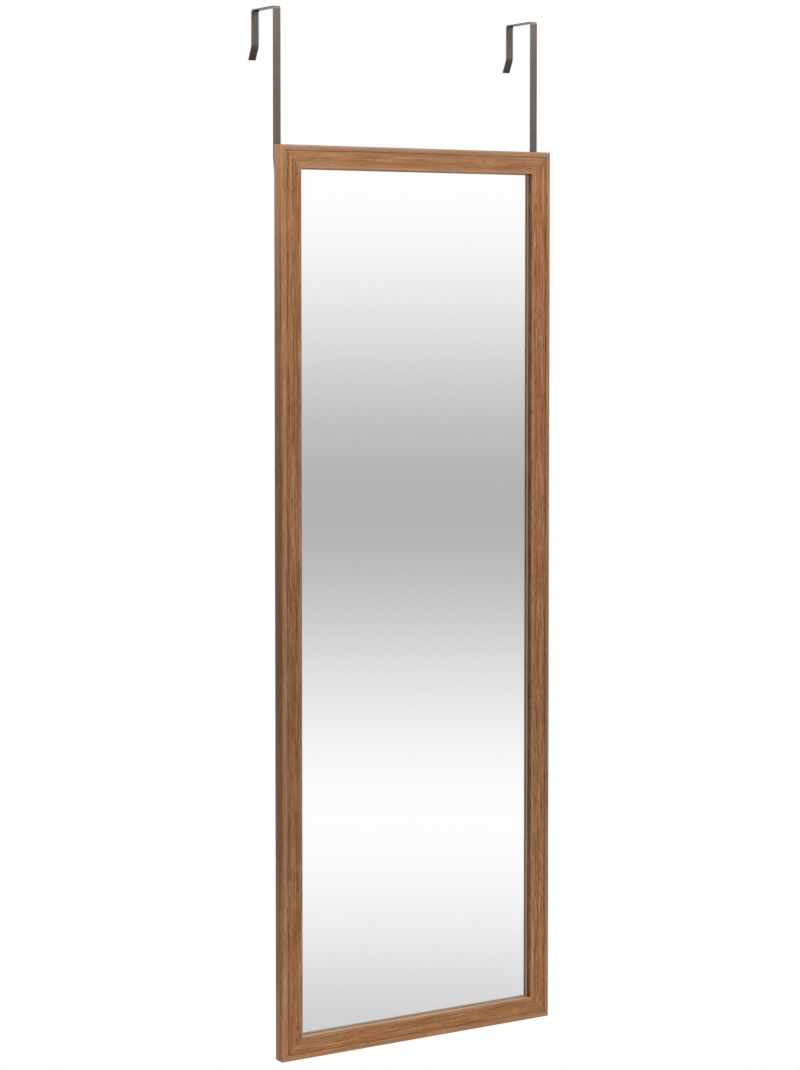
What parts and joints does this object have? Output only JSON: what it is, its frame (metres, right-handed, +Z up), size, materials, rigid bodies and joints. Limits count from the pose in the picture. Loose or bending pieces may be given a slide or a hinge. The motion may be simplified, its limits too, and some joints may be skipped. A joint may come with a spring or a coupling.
{
  "type": "over the door mirror",
  "caption": "Tall narrow mirror in a mitred wood-effect frame, hung over the top edge of a door on two flat steel straps with square hooks.",
  "frame": {"origin": "on the door's top edge at its front face, midway between the two hooks, level with the undersides of their bridges", "axes": "+X to the right as seen from the front, +Y back through the door, +Z up"},
  "size_m": [0.38, 0.0884, 1.2425],
  "materials": {
    "foiled_moulding": "satin",
    "mirror_glass": "polished",
    "kraft_board": "matte",
    "hardboard": "matte",
    "coated_steel": "satin",
    "zinc_steel": "satin",
    "rubber": "matte"
  },
  "bodies": {
    "root": {"top_rail": "foiled_moulding", "bottom_rail": "foiled_moulding", "left_stile": "foiled_moulding", "right_stile": "foiled_moulding", "corner_nails_top_left": "zinc_steel", "corner_nails_top_right": "zinc_steel", "corner_nails_bottom_left": "zinc_steel", "corner_nails_bottom_right": "zinc_steel", "mirror_glass": "mirror_glass", "cushion_sheet": "kraft_board", "backing_board": "hardboard", "back_points_top": "zinc_steel", "back_points_bottom": "zinc_steel", "back_points_left": "zinc_steel", "back_points_right": "zinc_steel", "left_strap": "coated_steel", "right_strap": "coated_steel", "left_strap_screws": "zinc_steel", "right_strap_screws": "zinc_steel", "left_bumper": "rubber", "right_bumper": "rubber"}
  },
  "joints": []
}
